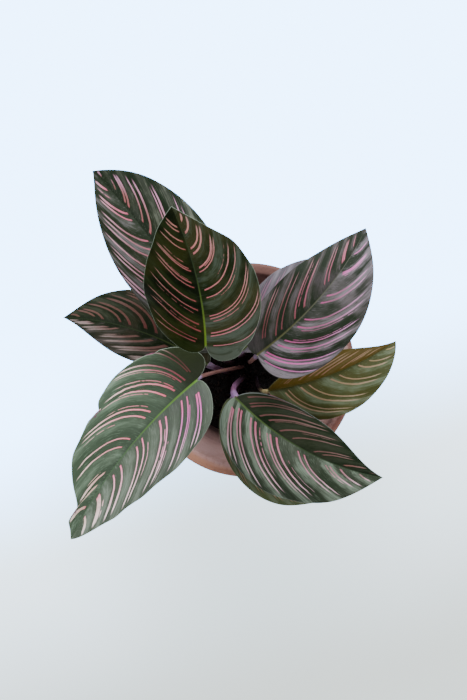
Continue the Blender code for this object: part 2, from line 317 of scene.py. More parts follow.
def reckon(operation, *values):
    """The result of an operation such as SQRT or MAXIMUM on wires and numbers."""
    tree = next(value.tree for value in values if isinstance(value, Wire))
    return new_node(tree, "ShaderNodeMath", dict(enumerate(values)), operation=operation)


def eased(value, start, end):
    """A share that eases from 0 where the value is at start to 1 where it is at end."""
    return new_node(value.tree, "ShaderNodeMapRange", {0: value, 1: start, 2: end},
                    interpolation_type="SMOOTHSTEP")


def spaced(share, low, high):
    """A share stretched to run from low to high."""
    return low + share * (high - low)


def between(share, one, two):
    """The colour a share of the way from one colour to the other."""
    return new_node(share.tree, "ShaderNodeMix", {0: share, 6: one, 7: two}, 2, data_type="RGBA")


def mottle(place, scale, detail=3.0, roughness=0.55):
    """Cloudy noise from 0 to 1 at a place, with its scale per metre."""
    return new_node(place.tree, "ShaderNodeTexNoise", {"Vector": place, "Scale": scale,
                                                       "Detail": detail, "Roughness": roughness})


def object_place(tree):
    """The piece's own coordinates."""
    return new_node(tree, "ShaderNodeTexCoord", {}, "Object")


def parted(place):
    """The three numbers of a place."""
    node = place.tree.nodes.new("ShaderNodeSeparateXYZ")
    give(node, {0: place})
    return [Wire(place.tree, part) for part in node.outputs]


def raise_surface(shader, height, depth):
    """Relief finer than the mesh: bump of a depth in metres from a height share."""
    bump = new_node(height.tree, "ShaderNodeBump", {"Distance": depth, "Height": height})
    give(shader, {"Normal": bump})


def fired_clay():
    """Clay mottled brown and orange, with pale lime bloom, and damp up to above the soil.

    The wall is damp inside, and fainter outside. Its middle lies at WALL_MIDDLE + WALL_SLOPE *
    height from the axis. A warm worn band runs along the rim's top on the left. At the back
    the rim's top and the inner wall carry painted shade, for the leaves over them.
    """
    made, tree, shader = new_finish("fired_clay")
    place = object_place(tree)
    east, north, height = parted(place)
    clouds = mottle(place, 45.0, 5.0)
    specks = mottle(place, 900.0, 2.0, 0.7)
    radius = reckon("SQRT", east * east + north * north)
    inside = eased(radius - height * WALL_SLOPE, WALL_MIDDLE + WALL_BLUR, WALL_MIDDLE - WALL_BLUR)
    lip = eased(height, *LIP_HEIGHTS)
    clay = between(eased(clouds, 0.40, 0.66), CLAY_DEEP, CLAY)
    lime = mottle(place, 26.0, 6.0, 0.62) + specks * 0.18 + inside * 0.16
    clay = between(eased(lime, 0.50, 0.78) * 0.9, clay, CLAY_BLOOM)
    worn = eased(radius, *WORN_INNER) * spaced(eased(radius, *WORN_OUTER), 0.25, 1.0) * lip
    worn = worn * eased(east, WORN_EAST, 0.0) * spaced(eased(clouds, 0.35, 0.65), 0.55, 0.95)
    clay = between(worn, clay, CLAY_WORN)
    # Painted shade: the rim's top and the inner wall darken at the back, under the leaves.
    rear = eased(north, *REAR_SHADE_NORTH) * reckon("MAXIMUM", inside, lip)
    clay = between(rear * 0.95, clay, CLAY_DEEP)
    damp = eased(height + clouds * 0.018, *DAMP_HEIGHTS) * spaced(inside, 0.30, 1.0)
    clay = between(damp * 0.85, clay, CLAY_DAMP)
    clay = between(eased(specks, 0.60, 0.74) * 0.35, clay, CLAY_DEEP)
    give(shader, {"Base Color": clay, "Roughness": 0.90 - damp * 0.35})
    raise_surface(shader, clouds * 0.6 + specks, 0.00025)
    return made


blank = new_object("thrown_pot", turned_mesh("thrown_pot", thrown_pot()))
drains = [(DRAIN_CIRCLE * math.cos(turn), DRAIN_CIRCLE * math.sin(turn))
          for turn in np.arange(DRAIN_HOLES) * math.tau / DRAIN_HOLES]
mesh = drilled(blank, drains, DRAIN_RADIUS, -DRILL_REACH, BASE_THICKNESS + DRILL_REACH)
mesh.set_sharp_from_angle(angle=math.radians(POT_EDGE))
mesh.materials.clear()
put_in_place("clay_pot", mesh, [fired_clay()], ["pot"])


# The soil. Dark, damp potting mix that fills the pot to half its height, lumpy on top, its
# near-black partly painted shade. Its surface is a dish of soft lumps, and loose crumbs of
# bark and peat are pressed into it.
SOIL_LEVEL = 0.054
SOIL_DISH = 0.0025
SOIL_SIDE_GAP = 0.0004
SOIL_LUMP = 0.0019
LUMP_SEED = 21
LUMP_CELL = 0.0085
SOIL_GRAIN = 0.0009
GRAIN_SEED = 22
GRAIN_CELL = 0.0024
SETTLED_SHARE = 0.08
SETTLED_LUMP = 0.35
SOIL_SKIRT = 0.008
SOIL_CORNER = 0.0040
CORNER_RISE = 0.9
SOIL_RINGS = 90
SOIL_SIDES = 200
CRUMBS = 900
CRUMB_SEED = 23
CRUMB_SIZES = (0.0006, 0.0021)
CRUMB_SHRINK = (0.4, 1.0)
CRUMB_DENTS = (0.72, 1.25)
CRUMB_STRETCH = (0.55, 1.5)
CRUMB_FLATNESS = 0.7
CRUMB_LIFT = 0.25
CRUMB_GAP = 0.003

# Painted shade: the peat is near black partly of itself and partly for the shade deep in the pot
# under the leaves.
PEAT_AND_SHADE = "#090706"
PEAT_DRY = "#15100d"
BARK = "#2b201a"


def soil_height(x, y, reach):
    """Height of the soil's top: a shallow dish with lumps and grains, level at the wall."""
    share = np.hypot(x, y) / reach
    level = np.stack([x, y, 0 * x], axis=-1)
    lumps = SOIL_LUMP * lattice_noise(level, LUMP_CELL, LUMP_SEED)
    grains = SOIL_GRAIN * lattice_noise(level, GRAIN_CELL, GRAIN_SEED)
    uneven = SETTLED_LUMP + (1 - SETTLED_LUMP) * portion(1 - share, SETTLED_SHARE)
    return SOIL_LEVEL - SOIL_DISH * share ** 3 + (lumps + grains) * uneven


def soil_plug():
    """The soil's closed surface: top rings from the middle out, then down the wall to the base."""
    reach = inner_radius(SOIL_LEVEL - SOIL_DISH) - SOIL_SIDE_GAP
    bottom = BASE_THICKNESS + SOIL_SIDE_GAP
    share = np.linspace(0.0, 1.0, SOIL_RINGS)
    turn = np.arange(SOIL_SIDES) * math.tau / SOIL_SIDES
    radius, angle = np.meshgrid(share * reach, turn, indexing="ij")
    top = soil_height(radius * np.cos(angle), radius * np.sin(angle), reach)
    low = np.array([SOIL_LEVEL - SOIL_SKIRT, bottom + CORNER_RISE * SOIL_CORNER, bottom, bottom])
    wide = np.array([*inner_radius(low[:2]) - SOIL_SIDE_GAP, inner_radius(bottom) - SOIL_CORNER,
                     0.0])
    radius = np.vstack([radius, np.broadcast_to(wide[:, None], (len(wide), SOIL_SIDES))])
    height = np.vstack([top, np.broadcast_to(low[:, None], (len(low), SOIL_SIDES))])
    return turned(radius, np.broadcast_to(turn, radius.shape), height)


def soil_crumbs():
    """Points and faces of the crumbs: one eight-sided lump, stretched, turned and strewn."""
    rng = np.random.default_rng(CRUMB_SEED)
    reach = inner_radius(SOIL_LEVEL - SOIL_DISH) - CRUMB_GAP
    distance = reach * np.sqrt(rng.uniform(0.0, 1.0, CRUMBS))
    turn = rng.uniform(0.0, math.tau, CRUMBS)
    x, y = distance * np.cos(turn), distance * np.sin(turn)
    size = rng.uniform(*CRUMB_SIZES, CRUMBS) * rng.uniform(*CRUMB_SHRINK, CRUMBS)
    lump = bmesh.new()
    bmesh.ops.create_icosphere(lump, subdivisions=1, radius=1.0)
    corners = np.array([vert.co for vert in lump.verts])
    faces = np.array([[vert.index for vert in face.verts] for face in lump.faces])
    lump.free()
    uneven = rng.uniform(*CRUMB_DENTS, (CRUMBS, len(corners), 1))
    stretch = rng.uniform(*CRUMB_STRETCH, (CRUMBS, 1, 3)) * [1.0, 1.0, CRUMB_FLATNESS]
    shaped = corners * uneven * stretch * size[:, None, None]
    spin = rng.uniform(0.0, math.tau, (CRUMBS, 1))
    across = shaped[..., 0] * np.cos(spin) - shaped[..., 1] * np.sin(spin)
    along = shaped[..., 0] * np.sin(spin) + shaped[..., 1] * np.cos(spin)
    lift = soil_height(x, y, reach + CRUMB_GAP) + CRUMB_LIFT * size
    points = np.stack([across + x[:, None], along + y[:, None], shaped[..., 2] + lift[:, None]],
                      axis=-1)
    first = np.arange(CRUMBS)[:, None, None] * len(corners)
    return points.reshape(-1, 3), (faces + first).reshape(-1, 3)


def potting_mix(name, light, scale):
    """Damp peat: near black, partly with painted shade, drier and browner in patches, with rough
    grains.
    """
    made, tree, shader = new_finish(name)
    place = object_place(tree)
    grains = mottle(place, 1400.0, 2.0, 0.7)
    patches = eased(mottle(place, scale, 6.0, 0.65) + grains * 0.25, 0.52, 0.80)
    give(shader, {"Base Color": between(patches, PEAT_AND_SHADE, light), "Roughness": 0.95})
    raise_surface(shader, grains, 0.0005)
    return made


mesh = turned_mesh("potting_soil", soil_plug())
put_in_place("potting_soil", mesh, [potting_mix("damp_peat", PEAT_DRY, 120.0)], ["soil"])

mesh = bpy.data.meshes.new("soil_crumbs")
points, faces = soil_crumbs()
mesh.from_pydata(points, [], faces)
tidy_mesh(mesh, merge=1e-9)
put_in_place("soil_crumbs", mesh, [potting_mix("bark_crumbs", BARK, 260.0)])


# The stalks. Each leaf has one slim juicy stalk, which rises from the soil and ends in a paler
# swollen knee under the blade. Its tube runs on a little way as the root of the midrib.
STALK_DEPTH = 0.012
STALK_COLLAR = 0.002
STALK_POINTS = 64
TURN_POINTS = 14
TURN_PULLS = (0.3, 0.5)
STALK_SIDES = 20
KNEE_LENGTH = 0.011
KNEE_SWELL = 1.22
KNEE_STEEPNESS = 1.6
KNEE_GAP = 0.0007
FOOT_SWELL = 1.15
FOOT_FADE = 0.015
BLADE_THICKNESS = 0.0008
RIB_RUN = 0.006
RIB_RADIUS = 0.00040
RIB_SINK = 0.00062
STALK_RIDGES = 5
STALK_RIDGE = 0.035
MIDRIB_POINTS = 201

PLAIN_BUNDLE = (0.13, -0.13)

# Painted shade: the stalks' feet are purple-brown, painted darker for the shade low in the pot.
STALK_FOOT_SHADE = "#1c0e15"
STALK_STREAK = "#3a2028"


@dataclass
class Leaf:
    """One blade with its stalk; pairs are for the left and the right half, seen from the stalk.

    Bundles are the bundles of pink lines of each half: their places between the base, 0, and
    the tip, 1, and the offsets of their lines from there, as shares of the space between
    bundles: two main lines, a thinner one and a faint outer one. Inset is how many millimetres
    later than usual they start, less for the last bundles. Fade is where the stalk leaves its
    dark foot behind, a purple-brown painted darker with the shade low in the pot.
    """

    name: str
    base: tuple
    length: float
    half_widths: tuple
    heading: float
    bend: float
    pitch: float
    droop: float
    roll: float
    root: tuple
    bundles: tuple
    stalk_radius: float = 0.0015
    lift: float = 0.40
    reach: float = 0.016
    tilt: float = 40.0
    rise: tuple = (10.0, 10.0)
    arch: tuple = (35.0, 35.0)
    lobe: tuple = (0.04, 0.04)
    widest: float = 0.42
    fullness: float = 0.42
    tip: tuple = (0.18, 0.18)
    bow: tuple = (0.65, 0.75)
    wave: float = 0.0015
    phase: tuple = (0.0, 90.0)
    nicks: tuple = ((), ())
    inset: tuple = (0.0, 0.0)
    seed: int = 0
    stalk: str = "#54384d"
    knee: str = "#6d5b71"
    fade: tuple = (0.20, 0.95)


LEAVES = [
    Leaf("rear_left", base=(-0.0180, 0.0165, 0.128), length=0.121, half_widths=(0.0240, 0.0285),
         heading=118, bend=16, pitch=33, droop=70, roll=-4, root=(-0.0065, 0.0086), rise=(22, 20),
         lobe=(0.05, 0.04), widest=0.44, fullness=0.45, tip=(0.16, 0.12), bow=(0.90, 0.60),
         seed=1, bundles=(
             {0.12: (), 0.28: (0.10, -0.20), 0.42: (0.17, -0.10, -0.32), 0.55: (0.25, -0.33),
              0.67: (-0.10, -0.43), 0.79: (-0.07, -0.33, 0.41), 0.91: (-0.15,)},
             {0.11: (), 0.25: (0.12, -0.14), 0.39: (0.08, -0.18), 0.54: (0.14, -0.02, -0.33),
              0.70: (0.12, -0.17), 0.83: (-0.14, -0.29, 0.28), 0.94: (0.05,)})),
    Leaf("rear_tall", base=(-0.0220, 0.0130, 0.166), length=0.090, half_widths=(0.0280, 0.0290),
         heading=89, bend=26, pitch=50, droop=10, roll=-4, root=(-0.0085, 0.0036), reach=0.026,
         tilt=25, rise=(6, 13), lobe=(0.08, 0.13), widest=0.36, fullness=0.38, tip=(0.06, 0.16),
         bow=(0.60, 0.95), wave=0.0012, phase=(-15, 160),
         nicks=(((0.90, -0.0010, 0.06),), ((0.235, 0.0014, 0.03), (0.75, -0.0018, 0.07))), seed=2,
         stalk="#4a2c40", knee="#5a3a52", bundles=(
             {0.10: (0.12, -0.20), 0.26: (0.26, -0.12, 0.05), 0.45: (0.32, -0.10, -0.28),
              0.60: (0.18, -0.06, 0.30), 0.70: (0.02, -0.10, 0.25), 0.82: (0.20, -0.13),
              0.94: (-0.25, -0.42)},
             {0.05: (0.02,), 0.22: (0.06, -0.14), 0.39: (0.00, -0.14, -0.30),
              0.54: (0.22, -0.12, -0.27, 0.42), 0.70: (0.02, -0.13, -0.05), 0.80: (0.05, -0.22),
              0.91: (-0.28, 0.16)})),
    Leaf("left", base=(-0.0225, 0.0035, 0.120), length=0.092, half_widths=(0.0170, 0.0240),
         heading=147, bend=32, pitch=10, droop=47, roll=0, root=(-0.0100, -0.0020), reach=0.010,
         lift=0.35, rise=(10, 6), lobe=(0.03, 0.03), fullness=0.20, tip=(0.22, 0.20),
         bow=(0.65, 1.00), seed=3, stalk="#5a3c52", knee="#6d5b71", bundles=(
             {0.08: (), 0.22: (0.12, -0.14), 0.37: (0.12, -0.12), 0.56: (-0.02, -0.40, 0.20),
              0.71: (0.10, -0.20), 0.82: (-0.10, 0.16), 0.93: (-0.20,)},
             {0.10: (), 0.25: (0.14, -0.12), 0.40: (0.12, -0.14), 0.54: (0.06, -0.38),
              0.69: (-0.02, -0.36), 0.81: (-0.25, 0.08), 0.93: (-0.20,)})),
    Leaf("front_left", base=(-0.0270, -0.0045, 0.150), length=0.104, half_widths=(0.0275, 0.0300),
         heading=219, bend=25, pitch=24, droop=26, roll=-14, root=(-0.0017, 0.0014),
         stalk_radius=0.0010, lift=0.50, reach=0.010, rise=(12, 17), lobe=(0.04, 0.12),
         widest=0.26, fullness=0.25, tip=(0.04, 0.16), bow=(0.75, 0.95), wave=0.0025,
         phase=(75, 10),
         nicks=(((0.66, -0.0012, 0.06), (0.81, -0.0008, 0.04)),
                ((0.30, 0.0010, 0.015), (0.562, 0.0036, 0.020), (0.72, -0.0014, 0.05),
                 (0.87, 0.0044, 0.06), (0.93, -0.0020, 0.025))),
         inset=(0.0, 2.0), seed=4, stalk="#62443e", knee="#8d789b", fade=(0.02, 0.55), bundles=(
             {0.08: (-0.14, 0.04), 0.24: (0.00, -0.33, -0.43), 0.39: (-0.10, 0.17, 0.0, -0.25),
              0.56: (-0.12, 0.12, -0.30), 0.73: (-0.28, 0.00), 0.84: (-0.20, -0.10, -0.40),
              0.95: (-0.35,)},
             {0.03: (0.12, -0.12), 0.13: (-0.05, 0.18, 0.28), 0.28: (-0.28, 0.12, -0.37, 0.25),
              0.44: (-0.13, 0.11, -0.28, 0.30), 0.61: (-0.20, 0.05), 0.77: (-0.27, 0.12, -0.41),
              0.90: (-0.15,)})),
    Leaf("rear_right", base=(0.0040, 0.0085, 0.150), length=0.094, half_widths=(0.0215, 0.0270),
         heading=36, bend=27, pitch=25, droop=62, roll=-6, root=(0.0014, 0.0040),
         stalk_radius=0.0011, rise=(11, 18), lobe=(0.02, 0.00), widest=0.36, fullness=0.40,
         tip=(0.14, 0.20), seed=5, stalk="#62443e", knee="#6d5b71", fade=(0.05, 0.60), bundles=(
             {0.14: (-0.06, 0.12), 0.32: (-0.25, 0.03), 0.47: (-0.25, 0.30, -0.08), 0.58: (),
              0.70: (-0.42, -0.17), 0.81: (-0.25, -0.12), 0.92: (-0.42,)},
             {0.02: (0.17,), 0.12: (0.12, -0.13), 0.28: (0.11, -0.20, 0.20, -0.36),
              0.47: (0.00, -0.29, -0.41), 0.64: (-0.10, -0.35), 0.77: (-0.12, -0.20, -0.32),
              0.90: (-0.38,)})),
    Leaf("rear_under", base=(-0.0030, 0.0110, 0.122), length=0.074, half_widths=(0.0180, 0.0190),
         heading=46, bend=2, pitch=17, droop=55, roll=4, root=(-0.0010, 0.0095), rise=(12, 8),
         lobe=(0.03, 0.03), widest=0.44, fullness=0.08, tip=(0.12, 0.18), bow=(0.60, 0.60),
         bundles=(
             dict.fromkeys((0.10, 0.26, 0.42, 0.57, 0.71, 0.84, 0.95), PLAIN_BUNDLE),
             dict.fromkeys((0.06, 0.21, 0.36, 0.52, 0.67, 0.80, 0.92), PLAIN_BUNDLE))),
    Leaf("right", base=(0.0110, -0.0110, 0.119), length=0.078, half_widths=(0.0130, 0.0240),
         heading=9, bend=24, pitch=7, droop=28, roll=-12, root=(0.0056, -0.0056),
         stalk_radius=0.0010, reach=0.010, rise=(49, 22), arch=(38, 30), lobe=(0.01, 0.00),
         widest=0.40, fullness=0.22, tip=(0.24, 0.08), bow=(0.70, 0.85), seed=6, stalk="#91815f",
         knee="#a89a6d", fade=(0.72, 1.0), bundles=(
             {0.08: (), 0.20: (-0.10, 0.15), 0.34: (0.30, -0.10), 0.51: (-0.35, 0.00),
              0.66: (-0.15, 0.12, 0.35), 0.80: (0.00, -0.20), 0.92: (0.05,)},
             {0.09: (-0.10,), 0.24: (0.08, -0.20), 0.40: (0.10, -0.25), 0.62: (0.03, -0.24),
              0.80: (-0.27, 0.10), 0.94: (-0.10,)})),
    Leaf("front_right", base=(-0.0070, -0.0140, 0.138), length=0.092,
         half_widths=(0.0180, 0.0320), heading=314, bend=35, pitch=13, droop=31, roll=4,
         root=(-0.0016, -0.0052), reach=0.014, rise=(8, 8), lobe=(0.00, 0.03), fullness=0.35,
         tip=(0.22, 0.16), bow=(0.85, 0.55), seed=7, stalk="#6c4762", knee="#7f6086", bundles=(
             {0.05: (0.10,), 0.19: (-0.22, 0.04), 0.35: (-0.30, 0.04, 0.16),
              0.51: (-0.34, 0.12, -0.18, 0.23), 0.69: (-0.16, 0.05), 0.83: (-0.10,),
              0.94: (-0.10,)},
             {0.04: (0.20, -0.10), 0.14: (-0.10, 0.16), 0.29: (-0.17, 0.11, 0.34),
              0.44: (-0.12, 0.13, -0.28, 0.34), 0.63: (-0.19, -0.02), 0.80: (-0.25, 0.07, -0.38),
              0.92: (-0.20,)})),
    Leaf("front_under", base=(-0.0085, -0.0155, 0.128), length=0.082,
         half_widths=(0.0195, 0.0155), heading=281, bend=59, pitch=5, droop=36, roll=-1,
         root=(-0.0050, -0.0110), stalk_radius=0.0013, reach=0.008, tilt=75, rise=(8, 9),
         lobe=(0.03, 0.03), widest=0.46, fullness=0.35, bow=(0.60, 0.60), bundles=(
             dict.fromkeys((0.09, 0.24, 0.40, 0.55, 0.69, 0.82, 0.93), PLAIN_BUNDLE),
             dict.fromkeys((0.12, 0.27, 0.43, 0.58, 0.72, 0.84, 0.95), PLAIN_BUNDLE))),
]


def bezier(points, t):
    """Points of a Bezier curve at the values t, by repeated halving between its controls."""
    rows = [np.broadcast_to(np.asarray(point, float), t.shape + (len(point),)) for point in points]
    share = t[..., None]
    while len(rows) > 1:
        rows = [one * (1 - share) + two * share for one, two in zip(rows[:-1], rows[1:])]
    return rows[0]


def midrib_frame(leaf, x):
    """Centre, tangent, side and normal of the bent midrib at the lengths x."""
    u = np.linspace(0.0, 1.0, MIDRIB_POINTS)
    span = leaf.length * (u[1] - u[0])
    pitch = np.radians(leaf.pitch - leaf.droop * u)
    heading = np.radians(leaf.heading + leaf.bend * u)
    tangent = np.stack([np.cos(pitch) * np.cos(heading), np.cos(pitch) * np.sin(heading),
                        np.sin(pitch)], axis=-1)
    steps = (tangent[1:] + tangent[:-1]) / 2 * span
    path = np.vstack([np.zeros(3), np.cumsum(steps, axis=0)])
    share = portion(x, leaf.length)
    forward = unit(read_off(share, u, tangent))
    centre = read_off(share, u, path) + leaf.base + np.minimum(x, 0.0)[..., None] * forward
    turn = np.arctan2(forward[..., 1], forward[..., 0])
    level = np.stack([-np.sin(turn), np.cos(turn), np.zeros_like(turn)], axis=-1)
    upward = np.cross(forward, level)
    roll = math.radians(leaf.roll)
    left = level * math.cos(roll) + upward * math.sin(roll)
    normal = upward * math.cos(roll) - level * math.sin(roll)
    return centre, forward, left, normal


def stalk_line(leaf):
    """The stalk's centre line and radii: up from the soil, swollen knee, then in under the rib."""
    along = np.array([0.0, RIB_RUN])
    centre, forward, _, normal = midrib_frame(leaf, along)
    tilt = math.radians(leaf.tilt)
    arrive = forward[0] * math.cos(tilt) + normal[0] * math.sin(tilt)
    drop = leaf.stalk_radius * KNEE_SWELL * math.cos(tilt) + BLADE_THICKNESS / 2 + KNEE_GAP
    end = centre[0] - normal[0] * drop
    start = np.array([*leaf.root, SOIL_LEVEL + STALK_COLLAR])
    lift = np.array([0.0, 0.0, leaf.lift * (end[2] - start[2])])
    rising = bezier([start, start + lift, end - arrive * leaf.reach, end],
                    np.linspace(0.0, 1.0, STALK_POINTS))
    under = centre[1] - normal[1] * RIB_SINK
    turning = bezier([end, end + arrive * TURN_PULLS[0] * RIB_RUN,
                      under - forward[1] * TURN_PULLS[1] * RIB_RUN, under],
                     np.linspace(0.0, 1.0, TURN_POINTS))[1:]
    foot = np.array([*leaf.root, SOIL_LEVEL - STALK_DEPTH])
    path = np.vstack([foot, rising, turning])
    run = run_along(path)
    knee_end = run[STALK_POINTS]
    swell = (FOOT_SWELL - 1) * np.exp(-np.maximum(run - STALK_DEPTH, 0) / FOOT_FADE)
    near = np.clip(KNEE_STEEPNESS * (1 - np.abs(knee_end - run) / KNEE_LENGTH), 0.0, 1.0)
    swell = swell + (KNEE_SWELL - 1) * near
    past = portion(run - knee_end, run[-1] - knee_end)
    radii = leaf.stalk_radius * (1 + swell) * (1 - past) + RIB_RADIUS * past
    below_blade = (centre[0] - path) @ normal[0] - BLADE_THICKNESS / 4
    radii = np.where(past > 0, np.minimum(radii, np.maximum(below_blade, RIB_RADIUS)), radii)
    share = portion(run - STALK_DEPTH, knee_end - STALK_DEPTH)
    to_knee = np.clip((knee_end - run) / KNEE_LENGTH, 0.0, 2.0)
    return path, radii, share, to_knee


def tube(path, radii, aside):
    """Points of a ridged tube: rings square to the path, turned so that none of them twists."""
    tangent = unit(np.gradient(path, axis=0))
    first = unit(aside - (tangent @ aside)[:, None] * tangent)
    second = np.cross(tangent, first)
    turn = np.arange(STALK_SIDES) * math.tau / STALK_SIDES
    ridged = radii[:, None] * (1 + STALK_RIDGE * np.cos(STALK_RIDGES * turn))
    ring = (np.cos(turn)[None, :, None] * first[:, None] +
            np.sin(turn)[None, :, None] * second[:, None])
    return path[:, None] + ridged[..., None] * ring


def add_corner_values(mesh, values):
    """Store named numbers, or rows of three, on the mesh's face corners for its material."""
    for name, numbers in values.items():
        triple = numbers.shape[1:] == (3,)
        layer = mesh.attributes.new(name, "FLOAT_VECTOR" if triple else "FLOAT", "CORNER")
        layer.data.foreach_set("vector" if triple else "value",
                               np.ascontiguousarray(numbers, dtype=np.float32).ravel())


def stalk_mesh(leaf):
    """The tube closed by single points, with its rise and distance from the knee stored."""
    path, radii, share, to_knee = stalk_line(leaf)
    skin = tube(path, radii, midrib_frame(leaf, np.zeros(1))[2][0])
    skin = np.concatenate([0 * skin[:1] + path[0], skin, 0 * skin[:1] + path[-1]])
    faces = grid_faces(*skin.shape[:2], closed=True)
    mesh = bpy.data.meshes.new("leafstalk_" + leaf.name)
    mesh.from_pydata(skin.reshape(-1, 3), [], faces)
    point = np.clip(faces.ravel() // STALK_SIDES - 1, 0, len(path) - 1)
    add_corner_values(mesh, {"rising": share[point], "to_knee": to_knee[point]})
    tidy_mesh(mesh)
    return mesh


def stored(tree, name, output="Fac"):
    """A number, or a row of three, that the mesh carries."""
    return new_node(tree, "ShaderNodeAttribute", {}, output, attribute_name=name)


def stalk_skin(leaf):
    """Juicy skin: purple-brown at the foot with painted shade, streaked along, with its own colour
    at the knee.
    """
    made, tree, shader = new_finish("stalk_skin_" + leaf.name)
    streaks = mottle(object_place(tree), 700.0)
    # The foot is the stalk's own purple-brown, painted darker for the shade low in the pot.
    skin = between(eased(stored(tree, "rising"), *leaf.fade), STALK_FOOT_SHADE, leaf.stalk)
    skin = between(eased(stored(tree, "to_knee"), 0.75, 0.35), skin, leaf.knee)
    skin = between(eased(streaks, 0.45, 0.70) * 0.35, skin, STALK_STREAK)
    give(shader, {"Base Color": skin, "Roughness": 0.42, "Subsurface Weight": 0.15,
                  "Subsurface Radius": (0.0012, 0.0006, 0.0004)})
    raise_surface(shader, streaks, 0.00008)
    return made


for leaf in LEAVES:
    put_in_place("leafstalk_" + leaf.name, stalk_mesh(leaf), [stalk_skin(leaf)],
                 ["stalk_" + leaf.name])


# The blades. Living leaf, a third of a millimetre thick, glossy above with its sheen painted in,
# and purple below, with a midrib that stands out underneath. Each half is a sheet of veins
# that sweep from the midrib to the outline; the sheet is bent, raised, arched and waved as
# the leaf grew.
BLADE_ROWS = 200
BLADE_COLUMNS = 22
OUTLINE_POINTS = 200
NICK_LIMIT = 0.9
MARGIN_POINTS = 500
WIDEST_SPREAD = 0.2
FAN_SHARE = 0.20
VEIN_POWER = 2.6
VEIN_LEAD = (0.45, -0.40)
SINUS_SPREAD = 0.15
LOBE_PULL = 1.9
UPPER_PULL = 0.28
TIP_PULL = 0.34
ROW_CROWDING = 0.4
COLUMN_CROWDING = 1.5
WAVES = 2.5
RUFFLES = 3.3
STRIPE_POWER = 1.73
SHEET_THICKNESS = 0.00034
MARGIN_THICKNESS = 0.00012
MARGIN_RUN = 0.0012
RIB_DEPTH = 0.00075
RIB_SPREAD = 0.00075
RIB_GROOVE = 0.00022
RIB_TAPER = 0.8
PLEAT = 0.00022
PLEAT_FADE = (0.25, 0.3)
PLEAT_END = 1.2
RUFFLE = 0.00025
RUFFLE_START = 1.0
BLADE_EDGE = 55.0
MAP_MARGIN = 0.003
MAP_GAP = 0.004
STRIP_REACH = 0.0004
STORED_NUMBERS = ("stripe", "across", "spread", "half", "along_rib", "from_rib", "from_edge")
LINE_KINDS = ("first_line", "second_line", "thin_line", "faint_line")
LINE_STARTS = ((1.8, 3.4), (1.8, 3.4), (3.0, 8.0), (9.0, 14.0))
LINE_ENDS = ((0.90, 0.98), (0.90, 0.98), (0.70, 0.93), (0.84, 0.95))
LINE_WIDTHS = (1.0, 1.0, 0.62, 0.50)
LINE_STRENGTHS = (0.95, 0.95, 0.75, 0.6)
LOBE_INSET = 2.0
INSET_FADE = 3
HALF_SEED = 100
TIP_START = 0.55
LEAF_SHADE = "#1b1f0e"
BACK_DEEP = "#4a1c34"
BACK_PALE = "#75364f"
BACK_RIB = "#7d7a4c"
FIBRES = (7.0, 3.0)
THREADS = (24.0, 7.0)


def outline(leaf, side, along):
    """Flat margin of one half at shares of its length: x along the midrib, y out from it.

    Two cubics meet at the widest place. The first goes back around the lobe, the second comes
    in to the tip. Nicks are small dents of a given place, depth and width, or bulges where the
    depth is less than 0.
    """
    lobe, tip = leaf.lobe[side], leaf.tip[side]
    t = np.linspace(0.0, 1.0, OUTLINE_POINTS)
    lower = bezier([(0, 0), (-LOBE_PULL * lobe, SINUS_SPREAD), (leaf.widest - leaf.fullness, 1),
                    (leaf.widest, 1)], t)
    upper = bezier([(leaf.widest, 1), (leaf.widest + UPPER_PULL, 1), (1 - tip, TIP_PULL),
                    (1, 0)], t)
    margin = np.vstack([lower, upper[1:]]) * [leaf.length, leaf.half_widths[side]]
    run = run_along(margin)
    x, y = np.moveaxis(read_off(along, run / run[-1], margin), -1, 0)
    for place, depth, width in leaf.nicks[side]:
        nick = depth * np.exp(-((along - place) / width) ** 2)
        y = y - np.minimum(nick, NICK_LIMIT * y)
    return x, y


def flat_half(leaf, side, along, across):
    """Point of the flat half on the vein that ends at the margin's share along.

    The vein is a quadratic curve. Its foot stays at the base for the lobe's fan and then moves
    up the midrib, x = length * v ** VEIN_POWER, with v the share along past the fan.
    """
    edge_x, edge_y = outline(leaf, side, along)
    past = portion(along - FAN_SHARE, 1 - FAN_SHARE)
    foot = leaf.length * past ** VEIN_POWER
    lead = VEIN_LEAD[0] + VEIN_LEAD[1] * along
    knee_x = foot + lead * (edge_x - foot)
    knee_y = leaf.bow[side] * edge_y
    x = (1 - across) ** 2 * foot + 2 * across * (1 - across) * knee_x + across ** 2 * edge_x
    y = 2 * across * (1 - across) * knee_y + across ** 2 * edge_y
    return x, y


def stripe_number(leaf, side, along):
    """Where a vein lies among the paired stripes: a whole number on the middle of each pair."""
    past = portion(along - FAN_SHARE, 1 - FAN_SHARE)
    places = np.array(list(leaf.bundles[side]))
    places = np.concatenate([[2 * places[0] - places[1]], places, [2 * places[-1] - places[-2]]])
    return np.interp(past ** STRIPE_POWER, places, np.arange(len(places)) - 1.0)


def stripe_lines(leaf, side):
    """Offset, start and end of the lines of each bundle of one half, kind by kind.

    The offset is a share of the space between bundles, the start is in millimetres from the
    midrib, and the end is a share of the vein. A line that a bundle lacks ends at 0.
    """
    rng = np.random.default_rng(HALF_SEED * side + leaf.seed)
    count = len(leaf.bundles[side])
    lines = np.zeros((len(LINE_KINDS), count, 3))
    for bundle, offsets in enumerate(leaf.bundles[side].values()):
        to_tip = min((count - 1 - bundle) / INSET_FADE, 1.0)
        nearer = 1.0 - TIP_START * (bundle / (count - 1)) ** 2
        for kind, offset in enumerate(offsets):
            start = rng.uniform(*LINE_STARTS[kind]) * nearer + leaf.inset[side] * to_tip
            if bundle == 0:
                start += LOBE_INSET
            lines[kind, bundle] = (offset, start, rng.uniform(*LINE_ENDS[kind]))
    return lines


